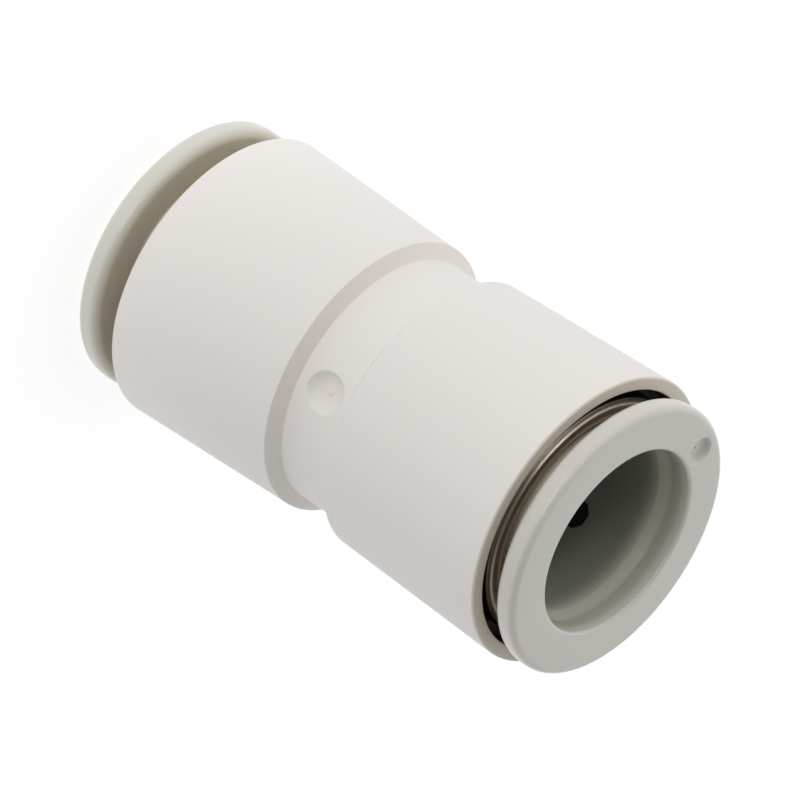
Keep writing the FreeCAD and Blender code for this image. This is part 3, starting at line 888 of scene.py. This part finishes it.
def make_surround():
    """Plain white to the camera. Its darker side counts for the light and in reflections."""
    world = bpy.data.worlds.new("white_surround")
    world.use_nodes = True
    setting = Setting(world)
    way = setting.add("ShaderNodeTexCoord", {}, {}, "Generated")
    towards = setting.add("ShaderNodeVectorMath", {"operation": "DOT_PRODUCT"},
                          {0: way, 1: DARK_SIDE}, "Value")
    fill = setting.fade(towards, DARK_START, DARK_END, 1.0, 0.0)
    camera = setting.add("ShaderNodeLightPath", {}, {}, "Is Camera Ray")
    shade = setting.add("ShaderNodeMath", {"operation": "MAXIMUM"}, {0: fill, 1: camera})
    level = setting.add("ShaderNodeMapRange", {}, {
        "Value": setting.shown(), "To Min": FILL_LEVEL, "To Max": SHOWN_LEVEL})
    light = setting.add("ShaderNodeBackground", {}, {"Strength": shade * level})
    setting.add("ShaderNodeOutputWorld", {}, {"Surface": light}, None)
    bpy.context.scene.world = world


def make_lamp(name, width, height, watts, azimuth, height_angle):
    """A soft rectangular lamp, aimed at the middle of the union from one direction."""
    lamp = bpy.data.lights.new(name, "AREA")
    lamp.shape = "RECTANGLE"
    lamp.size = width
    lamp.size_y = height
    lamp.energy = watts
    lamp.color = LAMP_COLOUR
    obj = bpy.data.objects.new(name, lamp)
    bpy.context.scene.collection.objects.link(obj)
    middle = Vector((0, 0, HALF_UNION * MM))
    level = math.cos(height_angle)
    obj.location = middle + LAMP_DISTANCE * Vector((
        level * math.cos(azimuth), level * math.sin(azimuth), math.sin(height_angle)))
    obj.rotation_euler = (middle - obj.location).to_track_quat("-Z", "Y").to_euler()


make_floor()
make_surround()
make_lamp("key_lamp", KEY_WIDTH, KEY_HEIGHT, KEY_WATTS, KEY_AZIMUTH, KEY_HEIGHT_ANGLE)
make_lamp("strip_lamp", LONG_WIDTH, STRIP_HEIGHT, STRIP_WATTS, STRIP_AZIMUTH, STRIP_HEIGHT_ANGLE)
make_lamp("top_lamp", LONG_WIDTH, TOP_HEIGHT, TOP_WATTS, TOP_AZIMUTH, TOP_HEIGHT_ANGLE)

# The camera
# It looks down on the standing union from the side of the gate, and is rolled so that the
# union lies across the picture from upper left to lower right.

PICTURE_WIDTH = 800
SENSOR_MM = 36.0
FOCAL_PIXELS = 7579
CAMERA_DISTANCE = 0.6279
CAMERA_HEIGHT_ANGLE = math.radians(30.73)
CAMERA_ROLL = math.radians(123.91)
AIM_POINT = Vector((0, 0, 0.027))
AIM_RIGHT = -0.0015
AIM_UP = 0.0004


def make_camera():
    """A camera that is rolled, and tilted a little, so that the aim point lies off the centre."""
    backwards = Vector((0, -math.cos(CAMERA_HEIGHT_ANGLE), math.sin(CAMERA_HEIGHT_ANGLE)))
    sideways = (-backwards).cross(Vector((0, 0, 1))).normalized()
    upwards = sideways.cross(-backwards)
    right = math.cos(CAMERA_ROLL) * sideways + math.sin(CAMERA_ROLL) * upwards
    up = math.cos(CAMERA_ROLL) * upwards - math.sin(CAMERA_ROLL) * sideways
    forwards = (AIM_RIGHT * right + AIM_UP * up - backwards).normalized()
    right = (right - forwards * right.dot(forwards)).normalized()
    up = right.cross(forwards)
    lens = bpy.data.cameras.new("photo_camera")
    lens.sensor_width = SENSOR_MM
    lens.lens = FOCAL_PIXELS * SENSOR_MM / PICTURE_WIDTH
    lens.clip_start = 0.01
    camera = bpy.data.objects.new("photo_camera", lens)
    bpy.context.scene.collection.objects.link(camera)
    axes = Matrix((right, up, -forwards)).transposed().to_4x4()
    camera.matrix_world = Matrix.Translation(AIM_POINT + backwards * CAMERA_DISTANCE) @ axes
    bpy.context.scene.camera = camera


make_camera()
bpy.context.scene.view_settings.view_transform = "Standard"
